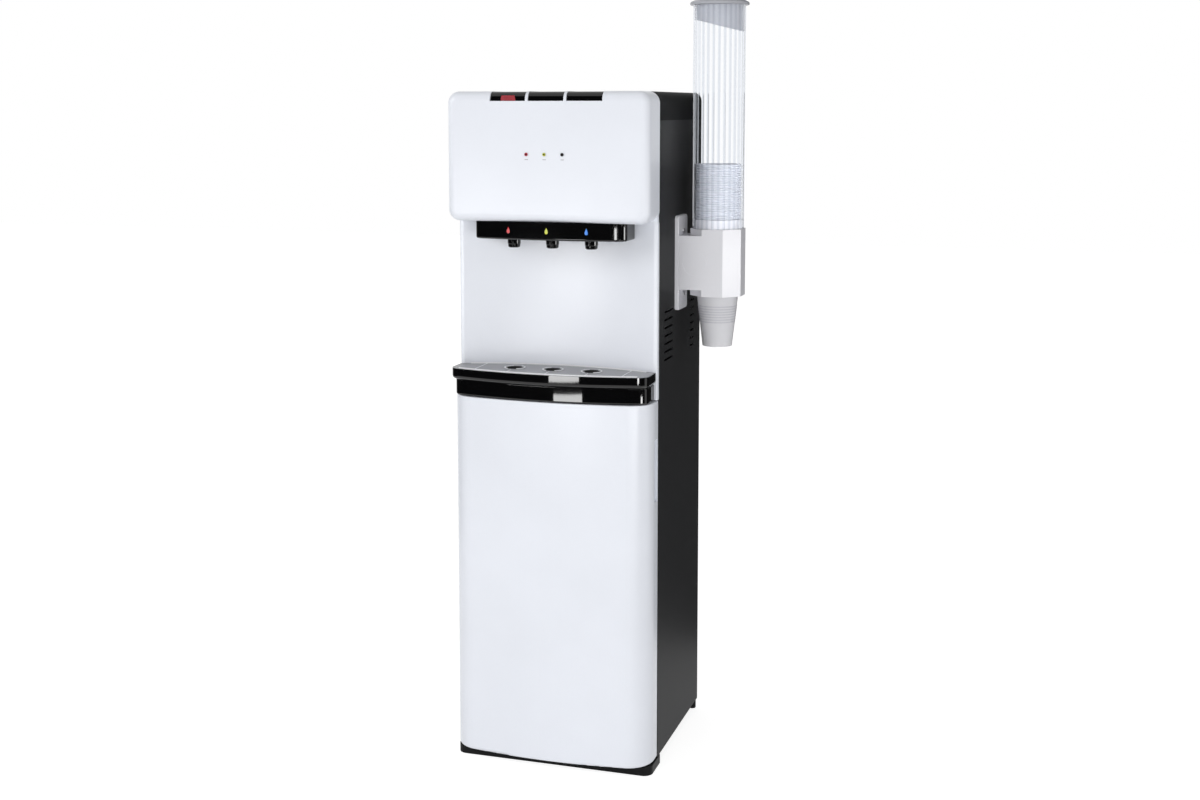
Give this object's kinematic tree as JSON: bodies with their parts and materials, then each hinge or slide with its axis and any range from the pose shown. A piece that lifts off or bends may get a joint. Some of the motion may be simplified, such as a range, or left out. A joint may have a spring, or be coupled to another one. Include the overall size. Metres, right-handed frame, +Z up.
{
  "type": "water cooler",
  "caption": "Free-standing bottom-loading water dispenser with press buttons over a recessed drip tray, a hinged bottle door and a side-mounted clear cup dispenser.",
  "frame": {"origin": "on the floor in the cabinet's middle plane, 147 mm in front of its back", "axes": "+X to the right seen from the front, +Y to the back, +Z up; the front faces -Y"},
  "size_m": [0.412, 0.3402, 1.1561],
  "materials": {
    "white_shell": "smooth satin white",
    "black_panel": "satin black paint",
    "black_gloss": "piano black",
    "black_base": "fine grain black",
    "silver_grille": "brushed silver",
    "red_lock": "gloss red",
    "lens_red": "clear red lens",
    "lens_green": "clear yellow green lens",
    "lens_dark": "smoked lens",
    "spout_dark": "dark polished",
    "zinc_sheet": "zinc grey",
    "screw_steel": "plated steel",
    "condenser_black": "black enamel",
    "compressor_black": "black enamel",
    "copper": "drawn copper",
    "tank_steel": "stainless",
    "foam": "moulded foam",
    "rubber_black": "black rubber",
    "hose_silicone": "translucent silicone",
    "grey_plastic": "grey moulding",
    "cup_grey": "light grey moulding",
    "clear_tube": "clear ribbed plastic",
    "cup_clear": "translucent cup plastic"
  },
  "bodies": {
    "cabinet": {"base_pan": "black_base", "side_panel_left": "black_panel", "side_panel_right": "black_panel", "back_panel_lower": "zinc_sheet", "panel_screws": "screw_steel", "back_panel_upper": "zinc_sheet", "divider_shelf": "zinc_sheet", "tank_shelf": "zinc_sheet", "top_cover": "black_base", "fascia": "white_shell", "head_panel": "white_shell", "button_rod": "screw_steel", "button_switches": "grey_plastic", "indicator_hot": "lens_red", "indicator_cold": "lens_green", "indicator_empty": "lens_dark", "spout_bar": "black_gloss", "spout_hot": "spout_dark", "spout_warm": "spout_dark", "spout_cold": "spout_dark", "tap_valves": "grey_plastic", "tap_hoses": "hose_silicone", "tray_holder": "black_gloss", "door_hinge_pins": "screw_steel", "magnet_catch": "black_base", "bottle_probe": "tank_steel", "feed_hose": "hose_silicone", "compressor": "compressor_black", "compressor_grommets": "rubber_black", "condenser_tube": "condenser_black", "condenser_wires": "condenser_black", "filter_drier": "copper", "cold_tank": "tank_steel", "evaporator_sleeve": "copper", "cold_tank_insulation": "foam", "hot_tank": "tank_steel", "hot_tank_jacket": "foam", "water_pump": "grey_plastic", "power_board": "grey_plastic", "switch_bezels": "black_base", "drain_caps": "black_base", "cord_gland": "rubber_black", "cup_bracket": "cup_grey", "bracket_screws": "screw_steel", "cup_housing": "cup_grey", "cup_tube": "clear_tube", "cup_stack": "cup_clear"},
    "door": {"door_shell": "white_shell", "door_liner": "white_shell"},
    "tray": {"drip_tray": "black_gloss"},
    "grille": {"drip_grille": "silver_grille"},
    "button_hot": {"button_hot": "black_gloss"},
    "button_warm": {"button_warm": "black_gloss"},
    "button_cold": {"button_cold": "black_gloss"},
    "child_lock": {"child_lock": "red_lock"},
    "hot_switch": {"hot_switch": "red_lock"},
    "cold_switch": {"cold_switch": "lens_green"},
    "cup_cap": {"cup_cap": "cup_grey"},
    "pull_cup": {"pull_cup": "cup_clear"}
  },
  "joints": [
    {"name": "door_hinge", "type": "hinge", "parent": "cabinet", "child": "door", "pos_m": [-0.143, -0.129, 0.28875], "axis": [0, 0, -1], "range_deg": [0, 100]},
    {"name": "tray_lift", "type": "slide", "parent": "cabinet", "child": "tray", "axis": [0, 0, 1], "range_m": [0, 0.08]},
    {"name": "grille_lift", "type": "slide", "parent": "tray", "child": "grille", "axis": [0, 0, 1], "range_m": [0, 0.05]},
    {"name": "button_hot_press", "type": "hinge", "parent": "cabinet", "child": "button_hot", "pos_m": [-0.0585, -0.1193, 1.006], "axis": [1, 0, 0], "range_deg": [0, 5], "stiffness_Nm_per_rad": 3, "springref_deg": -1.15},
    {"name": "button_warm_press", "type": "hinge", "parent": "cabinet", "child": "button_warm", "pos_m": [0, -0.1193, 1.006], "axis": [1, 0, 0], "range_deg": [0, 5], "stiffness_Nm_per_rad": 3, "springref_deg": -1.15},
    {"name": "button_cold_press", "type": "hinge", "parent": "cabinet", "child": "button_cold", "pos_m": [0.0585, -0.1193, 1.006], "axis": [1, 0, 0], "range_deg": [0, 5], "stiffness_Nm_per_rad": 3, "springref_deg": -1.15},
    {"name": "child_lock_push", "type": "slide", "parent": "button_hot", "child": "child_lock", "axis": [0, 1, 0], "range_m": [0, 0.003], "stiffness_N_per_m": 300, "springref_m": -0.002},
    {"name": "hot_switch_rock", "type": "hinge", "parent": "cabinet", "child": "hot_switch", "pos_m": [0.088, 0.1142, 0.948], "axis": [1, 0, 0], "range_deg": [0, 16]},
    {"name": "cold_switch_rock", "type": "hinge", "parent": "cabinet", "child": "cold_switch", "pos_m": [0.12, 0.1142, 0.948], "axis": [1, 0, 0], "range_deg": [0, 16]},
    {"name": "cap_lift", "type": "slide", "parent": "cabinet", "child": "cup_cap", "axis": [0, 0, 1], "range_m": [0, 0.06]},
    {"name": "cup_pull", "type": "slide", "parent": "cabinet", "child": "pull_cup", "axis": [0, 0, -1], "range_m": [0, 0.13]}
  ]
}
